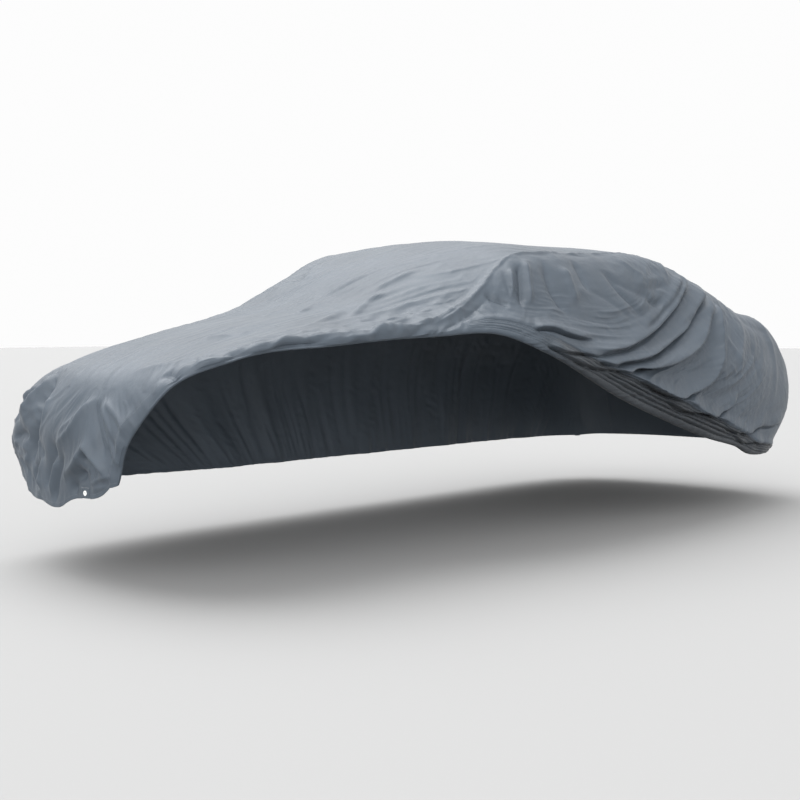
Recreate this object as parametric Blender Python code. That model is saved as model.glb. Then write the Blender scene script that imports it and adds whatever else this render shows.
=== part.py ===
"""A fitted cover of coated cloth, lifted and gathered along one side.

Metres. +X runs to the rear end, -Y is the lifted side, +Z is up.
The cloth is one net of points: lines run lengthways, ribs run across. The ribs come from the tables
below, the folds are laid over them, and each panel is a sheet between two lines of the net.
"""
import math

import bmesh
import bpy
import numpy as np

CLOTH = 0.0026          # thickness of the sheet
SEAM_GAP = 0.0005       # between two panels along a seam
NOTCH_HEIGHT = 0.045    # the front hem is cut away this high for the eyelet strip
REST = (1.50, 0.0, 1.5124)  # the point under the roof that becomes the origin, in the tables' frame

# The tables measure x from the front part of the cover, y from its middle and z from the ground.
# steps: how many ribs lie between this row and the next one
CENTRE_LINE = [
    # rib            x       z      steps
    ("front_hem",   -0.945, 0.362, 5),
    ("nose",        -0.965, 0.690, 2),
    ("lip",         -0.880, 0.845, 2),
    ("deck_front",  -0.640, 0.950, 3),
    ("deck_middle", -0.200, 1.052, 3),
    ("screen_foot",  0.320, 1.160, 4),
    ("screen_middle", 0.720, 1.370, 5),
    ("roof_front",   1.130, 1.495, 8),
    ("roof_middle",  1.650, 1.512, 13),
    ("roof_rear",    2.300, 1.490, 15),
    ("back_screen",  2.840, 1.345, 13),
    ("tail_deck",    3.280, 1.190, 7),
    ("tail_edge",    3.700, 1.110, 3),
    ("tail",         3.880, 0.930, 4),
    ("rear_hem",     3.860, 0.320, 0),
]
# the far side hangs down: seam to the top panel, waist, hem
FAR_SIDE = [
    # rib              seam x, y, z            waist x, y, z           hem x, y, z
    ("front_hem",     (-0.885, 0.470, 0.328), (-0.800, 0.700, 0.390), (-0.680, 0.850, 0.360)),
    ("nose",          (-0.905, 0.395, 0.700), (-0.800, 0.775, 0.600), (-0.380, 0.900, 0.330)),
    ("lip",           (-0.800, 0.420, 0.850), (-0.730, 0.760, 0.735), (-0.050, 0.925, 0.310)),
    ("deck_front",    (-0.560, 0.640, 0.908), (-0.460, 0.840, 0.775), (0.220, 0.940, 0.305)),
    ("deck_middle",   (-0.140, 0.700, 1.010), (-0.020, 0.910, 0.850), (0.500, 0.945, 0.300)),
    ("screen_foot",   (0.400, 0.700, 1.140), (0.460, 0.920, 0.900), (0.780, 0.945, 0.300)),
    ("screen_middle", (0.740, 0.660, 1.302), (0.800, 0.920, 0.920), (1.020, 0.945, 0.300)),
    ("roof_front",    (1.060, 0.620, 1.452), (1.120, 0.920, 0.930), (1.300, 0.945, 0.300)),
    ("roof_middle",   (1.660, 0.600, 1.440), (1.660, 0.930, 0.930), (1.740, 0.945, 0.300)),
    ("roof_rear",     (2.280, 0.590, 1.430), (2.250, 0.930, 0.920), (2.260, 0.945, 0.300)),
    ("back_screen",   (2.780, 0.620, 1.295), (2.720, 0.930, 0.910), (2.660, 0.945, 0.300)),
    ("tail_deck",     (3.200, 0.660, 1.165), (3.120, 0.920, 0.880), (2.980, 0.940, 0.300)),
    ("tail_edge",     (3.560, 0.680, 1.085), (3.460, 0.880, 0.860), (3.260, 0.925, 0.300)),
    ("tail",          (3.740, 0.670, 0.900), (3.640, 0.840, 0.720), (3.440, 0.900, 0.300)),
    ("rear_hem",      (3.800, 0.560, 0.315), (3.755, 0.690, 0.310), (3.680, 0.780, 0.300)),
]
# the near side is lifted: seam, waist, top of the gathered cloth, lowest edge;
# under: how far the cloth runs on inside after its turn, turn: how wide that turn is
NEAR_SIDE = [
    # rib              seam x, y, z             waist x, y, z            gather x, y, z
    #                  edge x, y, z             under  turn
    ("front_hem",     (-0.955, -0.174, 0.420), (-0.954, -0.187, 0.422), (-0.952, -0.200, 0.425),
                      (-0.946, -0.213, 0.429), 0.08, 0.016),
    ("nose",          (-0.962, -0.292, 0.672), (-0.962, -0.307, 0.668), (-0.960, -0.324, 0.663),
                      (-0.955, -0.341, 0.657), 0.14, 0.016),
    ("lip",           (-0.905, -0.458, 0.848), (-0.908, -0.474, 0.844), (-0.908, -0.488, 0.838),
                      (-0.905, -0.500, 0.831), 0.20, 0.016),
    ("deck_front",    (-0.690, -0.620, 0.972), (-0.692, -0.638, 0.967), (-0.696, -0.648, 0.956),
                      (-0.700, -0.652, 0.940), 0.24, 0.018),
    ("deck_middle",   (-0.190, -0.685, 1.032), (-0.192, -0.702, 1.024), (-0.196, -0.710, 1.008),
                      (-0.200, -0.708, 0.990), 0.28, 0.018),
    ("screen_foot",   (0.360, -0.700, 1.080), (0.355, -0.722, 1.065), (0.345, -0.735, 1.046),
                      (0.330, -0.738, 1.026), 0.26, 0.020),
    ("screen_middle", (0.742, -0.665, 1.213), (0.750, -0.770, 1.130), (0.730, -0.820, 1.098),
                      (0.680, -0.850, 1.052), 0.12, 0.028),
    ("roof_front",    (1.040, -0.635, 1.400), (1.050, -0.850, 1.130), (1.010, -0.925, 1.018),
                      (0.980, -0.945, 0.957), 0.06, 0.036),
    ("roof_middle",   (1.660, -0.600, 1.440), (1.660, -0.915, 0.990), (1.570, -0.950, 0.850),
                      (1.530, -0.955, 0.745), 0.05, 0.044),
    ("roof_rear",     (2.280, -0.590, 1.454), (2.250, -0.925, 0.940), (2.140, -0.955, 0.690),
                      (2.080, -0.955, 0.572), 0.05, 0.044),
    ("back_screen",   (2.780, -0.620, 1.314), (2.740, -0.930, 0.880), (2.550, -0.955, 0.562),
                      (2.480, -0.955, 0.464), 0.05, 0.044),
    ("tail_deck",     (3.200, -0.660, 1.160), (3.130, -0.910, 0.860), (2.860, -0.950, 0.472),
                      (2.800, -0.945, 0.397), 0.05, 0.042),
    ("tail_edge",     (3.550, -0.690, 1.072), (3.440, -0.860, 0.820), (3.060, -0.930, 0.395),
                      (3.000, -0.930, 0.335), 0.05, 0.040),
    ("tail",          (3.745, -0.680, 0.900), (3.620, -0.835, 0.700), (3.220, -0.910, 0.368),
                      (3.150, -0.915, 0.318), 0.04, 0.034),
    ("rear_hem",      (3.790, -0.540, 0.330), (3.740, -0.615, 0.332), (3.680, -0.680, 0.336),
                      (3.600, -0.745, 0.340), 0.03, 0.022),
]
TOP_ARCH = 2.3          # how flat the top panel is before it falls to its seams
TOP_SHARES_NEAR = (0.16, 0.58, 1.0)        # where the lines lie between centre and seam
TOP_SHARES_FAR = (0.065, 0.30, 0.52, 0.76, 1.0)
FAR_COLUMNS = 4
DRAPE_COLUMNS = (11, 9)  # near side, seam to waist to gathered cloth
PLEAT_COLUMNS = 8       # near side, gathered cloth, four to a pleat
PLEAT_HEIGHT = 0.015
TURN_COLUMNS = 3
UNDER_COLUMNS = 2
STRIP_HOLE = 0.0140
RING_SIDES = 20
RING_PROFILE = [
    # depth    radius
    (-0.0026, 0.0053),
    (-0.0030, 0.0062),
    (-0.0030, 0.0098),
    (-0.0025, 0.0110),
    (-0.0016, 0.0110),
    (-0.0016, 0.0067),
    (0.0016, 0.0067),
    (0.0016, 0.0100),
    (0.0024, 0.0098),
    (0.0024, 0.0053),
]
# the front hem sags below its line: where across, how far, how wide, how far up it reaches
SAG_AT, SAG_DEPTH, SAG_NEAR, SAG_FAR, SAG_REACH = 0.235, 0.052, 0.11, 0.17, 0.30

# Each fold is a soft ridge over a path on the cloth: along is measured down the centre line from the
# front hem, across is measured on the cloth from the centre line, the lifted side is minus.
# lean: how far the ridge hangs over the cloth below it
FOLDS = [
    # name           path of (along, across)                              width  height lean
    ("swag_first",   ((4.08, -0.74), (3.61, -1.04), (3.25, -1.18), (2.87, -1.22), (2.59, -1.10)),
                     0.046, 0.020, 0.018),
    ("swag_second",  ((4.20, -0.75), (3.90, -1.01), (3.57, -1.17), (3.25, -1.27), (2.94, -1.29)),
                     0.046, 0.024, 0.024),
    ("swag_third",   ((4.24, -0.82), (4.02, -1.07), (3.80, -1.22), (3.45, -1.31), (3.09, -1.33)),
                     0.054, 0.034, 0.034),
    ("swag_fourth",  ((4.34, -0.80), (4.22, -1.03), (4.18, -1.24), (4.06, -1.40), (3.84, -1.47),
                      (3.40, -1.43)), 0.050, 0.030, 0.024),
    ("swag_fifth",   ((4.56, -1.34), (4.28, -1.50), (3.90, -1.55), (3.55, -1.51)),
                     0.048, 0.020, 0.018),
    ("rear_crease",  ((4.50, -1.56), (5.00, -1.50), (5.40, -1.36), (5.69, -1.17)),
                     0.056, 0.014, 0.016),
    ("pocket",       ((2.30, -0.98), (2.52, -1.06), (2.76, -1.13)), 0.046, 0.020, 0.018),
]


def smooth_curve(points, where, at):
    """A smooth curve through points that stand at the distances where, read at the distances at."""
    points = np.asarray(points, float)
    where = np.asarray(where, float)
    at = np.asarray(at, float)
    slope = np.gradient(points, where, axis=0)
    i = np.clip(np.searchsorted(where, at, side="right") - 1, 0, len(where) - 2)
    step = where[i + 1] - where[i]
    t = (at - where[i]) / step
    shape = (-1,) + (1,) * (points.ndim - 1)
    t = t.reshape(shape)
    step = step.reshape(shape)
    return ((2 * t**3 - 3 * t**2 + 1) * points[i] + (t**3 - 2 * t**2 + t) * step * slope[i]
            + (3 * t**2 - 2 * t**3) * points[i + 1] + (t**3 - t**2) * step * slope[i + 1])


def unit(v):
    return v / np.maximum(np.linalg.norm(v, axis=-1, keepdims=True), 1e-9)


def rib_distances():
    """The distance of each rib of the tables along the centre line, and of each rib of the net."""
    line = np.array([(row[1], row[2]) for row in CENTRE_LINE])
    where = np.concatenate([[0.0], np.cumsum(np.linalg.norm(np.diff(line, axis=0), axis=1))])
    at = [0.0]
    for k, row in enumerate(CENTRE_LINE[:-1]):
        for n in range(1, row[3] + 1):
            at.append(where[k] + (where[k + 1] - where[k]) * n / row[3])
    at[1] = NOTCH_HEIGHT
    return where, np.array(at)


def down_curve(nodes, lead, columns):
    """Points from the first node to the last along a rounded curve, the same count between nodes."""
    directions = [lead]
    for k in range(1, len(nodes) - 1):
        directions.append(unit(unit(nodes[k] - nodes[k - 1]) + unit(nodes[k + 1] - nodes[k])))
    directions.append(unit(nodes[-1] - nodes[-2]))
    out = []
    for k, count in enumerate(columns):
        reach = np.linalg.norm(nodes[k + 1] - nodes[k], axis=1, keepdims=True)
        for n in range(1, count + 1):
            t = n / count
            out.append((2 * t**3 - 3 * t**2 + 1) * nodes[k] + (t**3 - 2 * t**2 + t) * reach * directions[k]
                       + (3 * t**2 - 2 * t**3) * nodes[k + 1]
                       + (t**3 - t**2) * reach * directions[k + 1])
    return out


def plain_net():
    """The net before its folds: ribs by columns by xyz, and the columns where the panels meet."""
    where, at = rib_distances()
    crown = smooth_curve([(r[1], 0.0, r[2]) for r in CENTRE_LINE], where, at)
    far = [smooth_curve([r[k] for r in FAR_SIDE], where, at) for k in (1, 2, 3)]
    near = [smooth_curve([r[k] for r in NEAR_SIDE], where, at) for k in (1, 2, 3, 4)]
    under = smooth_curve([r[5] for r in NEAR_SIDE], where, at)[:, None]
    turn = smooth_curve([r[6] for r in NEAR_SIDE], where, at)[:, None]

    def top(seam, share):
        point = crown + (seam - crown) * share**TOP_ARCH
        point[:, 1] = seam[:, 1] * share
        return point

    far_top = [top(far[0], share) for share in TOP_SHARES_FAR]
    near_top = [top(near[0], share) for share in TOP_SHARES_NEAR]
    half = FAR_COLUMNS // 2
    far_side = down_curve(far, unit(far_top[-1] - top(far[0], 0.97)), (half, FAR_COLUMNS - half))
    near_side = down_curve(near, unit(near_top[-1] - top(near[0], 0.97)), (*DRAPE_COLUMNS, PLEAT_COLUMNS))
    # the turn and the cloth that runs on inside it
    shown = np.stack([crown] + near_top + near_side, axis=1)
    normal = net_normals(shown[:, ::-1])[:, ::-1]
    run = np.concatenate([np.zeros((len(at), 1)),
                          np.cumsum(np.linalg.norm(np.diff(shown, axis=1), axis=2), axis=1)], axis=1)
    edge = shown[:, -1]
    out = normal[:, -1]
    onward = unit(shown[:, -1] - shown[:, -2])
    hidden = []
    for n in range(1, TURN_COLUMNS + 1):
        angle = math.pi * n / TURN_COLUMNS
        hidden.append(edge + onward * turn / 2 * math.sin(angle) - out * turn / 2 * (1 - math.cos(angle)))
    for n in range(1, UNDER_COLUMNS + 1):
        back = run[:, -1] - under[:, 0] * n / UNDER_COLUMNS
        point = np.array([[np.interp(b, r, s[:, c]) for c in range(3)] for b, r, s in zip(back, run, shown)])
        away = np.array([[np.interp(b, r, s[:, c]) for c in range(3)] for b, r, s in zip(back, run, normal)])
        hidden.append(point - unit(away) * turn)
    columns = hidden[::-1] + near_side[::-1] + near_top[::-1] + [crown] + far_top + far_side
    marks = np.cumsum([len(hidden) + len(near_side), len(near_top), len(far_top), len(far_side)])
    net = np.stack(columns, axis=1)
    off = net[..., 1] - SAG_AT
    sag = SAG_DEPTH * np.exp(-(off / np.where(off < 0, SAG_NEAR, SAG_FAR)) ** 2)
    net[..., 2] -= sag * soft_step(1 - at / SAG_REACH)[:, None]
    return net, at, marks


def soft_step(t):
    t = np.clip(t, 0.0, 1.0)
    return t * t * (3 - 2 * t)


def cloth_distances(net, crown):
    """How far each point of the net lies from the centre line, measured on the cloth."""
    steps = np.linalg.norm(np.diff(net, axis=1), axis=2)
    run = np.concatenate([np.zeros((len(net), 1)), np.cumsum(steps, axis=1)], axis=1)
    return run - run[:, crown:crown + 1]


def fold_heights(along, across):
    """Outward height and downward lean of all the folds at points of the cloth."""
    height = np.zeros_like(along)
    lean = np.zeros_like(along)
    for name, path, width, rise, hang in FOLDS:
        path = np.array(path)
        line = smooth_curve(path, np.arange(len(path)), np.linspace(0, len(path) - 1, 8 * len(path)))
        best = np.full(along.shape, 1e9)
        side = np.zeros_like(along)
        place = np.zeros_like(along)
        for k in range(len(line) - 1):
            a = line[k]
            d = line[k + 1] - a
            t = np.clip(((along - a[0]) * d[0] + (across - a[1]) * d[1]) / (d @ d), 0.0, 1.0)
            gap_a = along - a[0] - t * d[0]
            gap_b = across - a[1] - t * d[1]
            gap = np.hypot(gap_a, gap_b)
            closer = gap < best
            best = np.where(closer, gap, best)
            side = np.where(closer, -np.sign(gap_b), side)
            place = np.where(closer, (k + t) / (len(line) - 1), place)
        fade = soft_step(place / 0.2) * soft_step((1 - place) / 0.2)
        ridge = np.exp(-(best / width) ** 2) * fade
        tuck = np.exp(-((side * best - 1.4 * width) / (0.7 * width)) ** 2) * fade
        height += rise * ridge - 0.35 * rise * tuck
        lean += hang * ridge
    return height, lean


def folded_net():
    """The net with its folds and pleats."""
    net, at, marks = plain_net()
    crown = marks[1]
    hidden = TURN_COLUMNS + UNDER_COLUMNS
    normals = net_normals(net)
    across = cloth_distances(net, crown)
    along = np.repeat(at[:, None], net.shape[1], axis=1)
    height, lean = fold_heights(along, across)
    calm = soft_step((across - across[:, hidden:hidden + 1]) / 0.06)
    calm[:, :hidden] = 0.0
    gathered = across[:, hidden + PLEAT_COLUMNS] - across[:, hidden]
    pleat = np.minimum(PLEAT_HEIGHT, 0.12 * gathered)
    for k in range(PLEAT_COLUMNS + 1):
        wave = math.sin(2 * math.pi * (PLEAT_COLUMNS - k) / 4)
        height[:, hidden + k] += pleat * wave
        calm[:, hidden + k] = np.maximum(calm[:, hidden + k], 0.5 if k else 0.0)
    down = np.zeros_like(net)
    down[:, 1:-1] = unit(net[:, :-2] - net[:, 2:])
    return net + (normals * height[..., None] + down * lean[..., None]) * calm[..., None], marks


def net_normals(net):
    """Outward normal at each point of a net (ribs by columns)."""
    along = np.gradient(net, axis=0)
    across = np.gradient(net, axis=1)
    return unit(np.cross(along, across))


def sheet(name, net, normals, keep, first, last, colour):
    """A closed sheet of the cloth between two columns of the net."""
    part = net[:, first:last + 1].copy()
    thick = normals[:, first:last + 1] * CLOTH / 2
    part[:, 0] += unit(part[:, 1] - part[:, 0]) * SEAM_GAP / 2
    part[:, -1] += unit(part[:, -2] - part[:, -1]) * SEAM_GAP / 2
    ribs, columns = part.shape[:2]
    points = np.concatenate([(part + thick).reshape(-1, 3), (part - thick).reshape(-1, 3)])
    size = ribs * columns
    faces = []
    rim = {}
    for i in range(ribs - 1):
        for j in range(columns - 1):
            if not keep(i, j + first):
                continue
            ring = (i * columns + j, (i + 1) * columns + j, (i + 1) * columns + j + 1, i * columns + j + 1)
            # every square is cut the way the swags run
            for half in ((ring[0], ring[1], ring[2]), (ring[0], ring[2], ring[3])):
                faces.append(half)
                faces.append(tuple(size + k for k in half[::-1]))
            for a, b in zip(ring, ring[1:] + ring[:1]):
                if (b, a) in rim:
                    del rim[(b, a)]
                else:
                    rim[(a, b)] = True
    for a, b in rim:
        faces.append((b, a, size + a, size + b))
    return add_object(name, points, faces, colour)


def add_object(name, points, faces, colour):
    used = sorted({k for face in faces for k in face})
    order = {k: n for n, k in enumerate(used)}
    mesh = bpy.data.meshes.new(name)
    mesh.from_pydata([tuple(points[k]) for k in used], [],
                     [tuple(order[k] for k in face) for face in faces])
    bm = bmesh.new()
    bm.from_mesh(mesh)
    bmesh.ops.triangulate(bm, faces=bm.faces)
    bm.to_mesh(mesh)
    bm.free()
    for face in mesh.polygons:
        face.use_smooth = True
    obj = bpy.data.objects.new(name, mesh)
    bpy.context.scene.collection.objects.link(obj)
    material = bpy.data.materials.new(name)
    material.use_nodes = True
    material.node_tree.nodes["Principled BSDF"].inputs["Base Color"].default_value = (*colour, 1.0)
    material.node_tree.nodes["Principled BSDF"].inputs["Roughness"].default_value = 0.6
    mesh.materials.append(material)
    return obj


def eyelet_strip(net, marks):
    """The flat piece let into the notch of the front hem, with its hole."""
    crown = marks[1]
    notch = net[0:2, crown - 1:crown + 2]
    left = notch[:, 0, 1].max() + SEAM_GAP
    right = notch[:, 2, 1].min() - SEAM_GAP
    low = notch[0, :, 2].mean()
    high = notch[1, :, 2].min() - SEAM_GAP
    centre = np.array([notch[..., 0].mean(), (left + right) / 2, (low + high) / 2])
    half = np.array([(right - left) / 2, (high - low) / 2])
    corners = [math.atan2(sy * half[1], sx * half[0]) for sx in (1, -1) for sy in (1, -1)]
    angles = sorted(set(corners + [math.pi * n / 8 + 0.02 for n in range(-8, 8)]))
    points = []
    for face in (-1, 1):
        for reach in (0, 1):
            for angle in angles:
                ray = np.array([math.cos(angle), math.sin(angle)])
                span = (half / np.maximum(np.abs(ray), 1e-9)).min() if reach else STRIP_HOLE / 2
                points.append(centre + np.array([face * CLOTH / 2, ray[0] * span, ray[1] * span]))
    count = len(angles)
    faces = []
    for n in range(count):
        m = (n + 1) % count
        faces.append((n, m, count + m, count + n))
        faces.append((2 * count + n, 3 * count + n, 3 * count + m, 2 * count + m))
        faces.append((n, 2 * count + n, 2 * count + m, m))
        faces.append((count + n, count + m, 3 * count + m, 3 * count + n))
    add_object("eyelet_strip", points, faces, (0.30, 0.32, 0.35))
    return centre


def eyelet_ring(centre):
    """The ring through the strip: a front flange, a barrel and a flange behind."""
    points = []
    for n in range(RING_SIDES):
        angle = 2 * math.pi * n / RING_SIDES
        for depth, radius in RING_PROFILE:
            points.append(centre + np.array([depth, radius * math.cos(angle), radius * math.sin(angle)]))
    count = len(RING_PROFILE)
    faces = []
    for n in range(RING_SIDES):
        m = (n + 1) % RING_SIDES
        for k in range(count):
            j = (k + 1) % count
            faces.append((m * count + k, m * count + j, n * count + j, n * count + k))
    add_object("eyelet_ring", points, faces, (0.80, 0.80, 0.78))


def main():
    for obj in list(bpy.data.objects):
        bpy.data.objects.remove(obj)
    net, marks = folded_net()
    net = net - np.array(REST)
    normals = net_normals(net)
    near_seam, crown, far_seam, far_hem = marks

    def whole(rib, column):
        return True

    def notched(rib, column):
        return rib > 0 or column not in (crown - 1, crown)

    sheet("side_panel_near", net, normals, whole, 0, near_seam, (0.22, 0.24, 0.27))
    sheet("top_panel", net, normals, notched, near_seam, far_seam, (0.35, 0.37, 0.40))
    sheet("side_panel_far", net, normals, whole, far_seam, far_hem, (0.22, 0.24, 0.27))
    centre = eyelet_strip(net, marks)
    eyelet_ring(centre)


if __name__ == "__main__":
    main()
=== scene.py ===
"""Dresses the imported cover: three panels of coated cloth with their folds, seams and hems, the eyelet
in its strip, and a plain stage.

The cloth is one net of points, as in the part's source: ribs run across, lines run lengthways. The
table gives the ribs, and folds are laid over them by their distance along and across the cloth.
"""
import math

import bpy
import numpy as np
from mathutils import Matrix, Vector


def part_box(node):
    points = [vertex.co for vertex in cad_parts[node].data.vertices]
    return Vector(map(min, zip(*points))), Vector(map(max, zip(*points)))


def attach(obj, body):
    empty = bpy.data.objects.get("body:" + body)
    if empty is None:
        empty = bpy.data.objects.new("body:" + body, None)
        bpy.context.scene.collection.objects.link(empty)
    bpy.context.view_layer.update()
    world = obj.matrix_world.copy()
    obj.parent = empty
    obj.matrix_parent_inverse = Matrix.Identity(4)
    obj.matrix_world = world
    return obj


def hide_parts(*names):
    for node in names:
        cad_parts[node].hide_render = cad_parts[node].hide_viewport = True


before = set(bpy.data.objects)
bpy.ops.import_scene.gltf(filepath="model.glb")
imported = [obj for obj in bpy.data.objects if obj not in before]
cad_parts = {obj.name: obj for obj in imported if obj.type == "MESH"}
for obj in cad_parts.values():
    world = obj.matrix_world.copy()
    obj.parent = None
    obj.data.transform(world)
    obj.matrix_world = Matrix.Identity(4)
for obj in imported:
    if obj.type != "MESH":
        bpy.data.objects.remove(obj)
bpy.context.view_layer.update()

bl_info = {
    "name": "Fitted cover",
    "version": (1, 0, 0),
    "blender": (4, 5, 0),
    "location": "View3D > Sidebar > Cover",
    "description": "Builds a fitted cover of coated cloth with one side lifted",
    "category": "Object",
}

REST = np.array((1.50, 0.0, 1.5124))

# The table is in centimetres: x from the front part of the cover, y from its middle, z from the ground.
CM = 0.01
RIBS = [
    # name, ribs up to the next row, x and z of the centre line, x, y, z of the far seam, waist and hem,
    # x, y, z of the near seam, waist, start of the gathered cloth and edge, turned under by, turn's thickness
    ("front_hem", 40, (-94.5, 36.2), (-88.5, 47, 32.8, -80, 70, 39, -68, 85, 36),
     (-95.5, -17.4, 42, -95.4, -18.7, 42.2, -95.2, -20, 42.5, -94.6, -21.3, 42.9, 8, 1.6)),
    ("nose", 22, (-96.5, 69), (-90.5, 39.5, 70, -80, 77.5, 60, -38, 90, 33),
     (-96.2, -29.2, 67.2, -96.2, -30.7, 66.8, -96, -32.4, 66.3, -95.5, -34.1, 65.7, 14, 1.6)),
    ("lip", 24, (-88, 84.5), (-80, 42, 85, -73, 76, 73.5, -5, 92.5, 31),
     (-90.5, -45.8, 84.8, -90.8, -47.4, 84.4, -90.8, -48.8, 83.8, -90.5, -50, 83.1, 20, 1.6)),
    ("deck_front", 30, (-64, 95), (-56, 64, 90.8, -46, 84, 77.5, 22, 94, 30.5),
     (-69, -62, 97.2, -69.2, -63.8, 96.7, -69.6, -64.8, 95.6, -70, -65.2, 94, 24, 1.8)),
    ("deck_middle", 36, (-20, 105.2), (-14, 70, 101, -2, 91, 85, 50, 94.5, 30),
     (-19, -68.5, 103.2, -19.2, -70.2, 102.4, -19.6, -71, 100.8, -20, -70.8, 99, 28, 1.8)),
    ("screen_foot", 34, (32, 116), (40, 70, 114, 46, 92, 90, 78, 94.5, 30),
     (36, -70, 108, 35.5, -72.2, 106.5, 34.5, -73.5, 104.6, 33, -73.8, 102.6, 26, 2)),
    ("screen_middle", 40, (72, 137), (74, 66, 130.2, 80, 92, 92, 102, 94.5, 30),
     (74.2, -66.5, 121.3, 75, -77, 113, 73, -82, 109.8, 68, -85, 105.2, 12, 2.8)),
    ("roof_front", 46, (113, 149.5), (106, 62, 145.2, 112, 92, 93, 130, 94.5, 30),
     (104, -63.5, 140, 105, -85, 113, 101, -92.5, 101.8, 98, -94.5, 95.7, 6, 3.6)),
    ("roof_middle", 58, (165, 151.2), (166, 60, 144, 166, 93, 93, 174, 94.5, 30),
     (166, -60, 144, 166, -91.5, 99, 157, -95, 85, 153, -95.5, 74.5, 5, 4.4)),
    ("roof_rear", 58, (230, 149), (228, 59, 143, 225, 93, 92, 226, 94.5, 30),
     (228, -59, 145.4, 225, -92.5, 94, 214, -95.5, 69, 208, -95.5, 57.2, 5, 4.4)),
    ("back_screen", 42, (284, 134.5), (278, 62, 129.5, 272, 93, 91, 266, 94.5, 30),
     (278, -62, 131.4, 274, -93, 88, 255, -95.5, 56.2, 248, -95.5, 46.4, 5, 4.4)),
    ("tail_deck", 34, (328, 119), (320, 66, 116.5, 312, 92, 88, 298, 94, 30),
     (320, -66, 116, 313, -91, 86, 286, -95, 47.2, 280, -94.5, 39.7, 5, 4.2)),
    ("tail_edge", 18, (370, 111), (356, 68, 108.5, 346, 88, 86, 326, 92.5, 30),
     (355, -69, 107.2, 344, -86, 82, 306, -93, 39.5, 300, -93, 33.5, 5, 4)),
    ("tail", 36, (388, 93), (374, 67, 90, 364, 84, 72, 344, 90, 30),
     (374.5, -68, 90, 362, -83.5, 70, 322, -91, 36.8, 315, -91.5, 31.8, 4, 3.4)),
    ("rear_hem", 0, (386, 32), (380, 56, 31.5, 375.5, 69, 31, 368, 78, 30),
     (379, -54, 33, 374, -61.5, 33.2, 368, -68, 33.6, 360, -74.5, 34, 3, 2.2)),
]

TOP_ARCH = 2.3
NOTCH_HEIGHT = 0.045
NOTCH_RIBS = 6
NOTCH_COLUMNS = (8, 4)          # columns of the notch on the near and the far side of the centre
NOTCH_SHARES = (0.16, 0.065)    # and how much of the half width they take up
TOP_COLUMNS_NEAR = 58
TOP_COLUMNS_FAR = 90
FAR_COLUMNS = 84
DRAPE_COLUMNS = (60, 58)
PLEAT_COLUMNS = 50
PLEATS = 4.5
TURN_COLUMNS = 8
UNDER_COLUMNS = 8
SAG_AT, SAG_DEPTH, SAG_NEAR, SAG_FAR, SAG_REACH = 0.235, 0.052, 0.11, 0.17, 0.30
HEM_TURN = 0.0035               # width of a hem's turn
HEM_DEPTH = 0.020               # how far it runs back inside
HEM_STEP = 0.004                # what each line of it counts as cloth
PLEAT_HEIGHT = 0.030
EDGE_CALM = 0.022               # no folds at the lifted edge, all of them this far up the cloth
UNDER_LIFT = 0.018              # how far the turned-under cloth stays above the front hem
# what the lifted side and the front are drawn round, along and across the cloth
ARC_CENTRE = (3.0, -0.68)
ARC_STRETCH = 1.9
FAN_CENTRE = (0.62, -0.03)

# Each fold lies along a path over the cloth. Its points are pairs in centimetres: along, from the front
# hem, and across, from the centre line, where the lifted side is minus.
# A swag is a roll that hangs over the cloth below it: width, height, lean, width below / above, path
SWAGS = [
    (4, 2.6, 2.2, 0.4, 417, -69, 387, -89, 367, -101, 342, -111, 321, -117, 305, -121, 280, -122),
    (2.4, 1.2, 1, 0.5, 402, -74, 373, -93, 350, -103, 330, -110),
    (4.4, 3, 3, 0.36, 435, -70, 401, -93, 379, -109, 352, -119, 328, -125, 307, -128, 280, -127),
    (5.4, 4.4, 4.6, 0.3, 432, -78, 407, -100, 389, -117, 364, -127, 337, -131, 310, -133),
    (4.8, 3.6, 3, 0.36, 437, -78, 425, -96, 417, -114, 409, -130, 397, -141, 376, -147, 350, -144, 321,
     -136),
    (4, 2.4, 2.2, 0.42, 451, -139, 437, -149, 411, -155, 384, -156, 358, -150),
    (5, 1.6, 1.8, 0.32, 446, -159, 480, -156, 528, -148, 559, -123),
    (3, 1.2, 1.2, 0.45, 464, -160, 507, -164, 540, -160),
    (2.6, 2, 2, 0.4, 248, -104, 262, -109, 276, -114, 294, -117),
    (2.8, 1.6, 1.4, 0.36, 260, -118, 275, -123, 293, -124, 308, -122),
    (2.8, 1.8, 1.2, 0.45, 259, -116, 275, -126, 291, -131, 308, -133, 329, -135),
]
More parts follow.
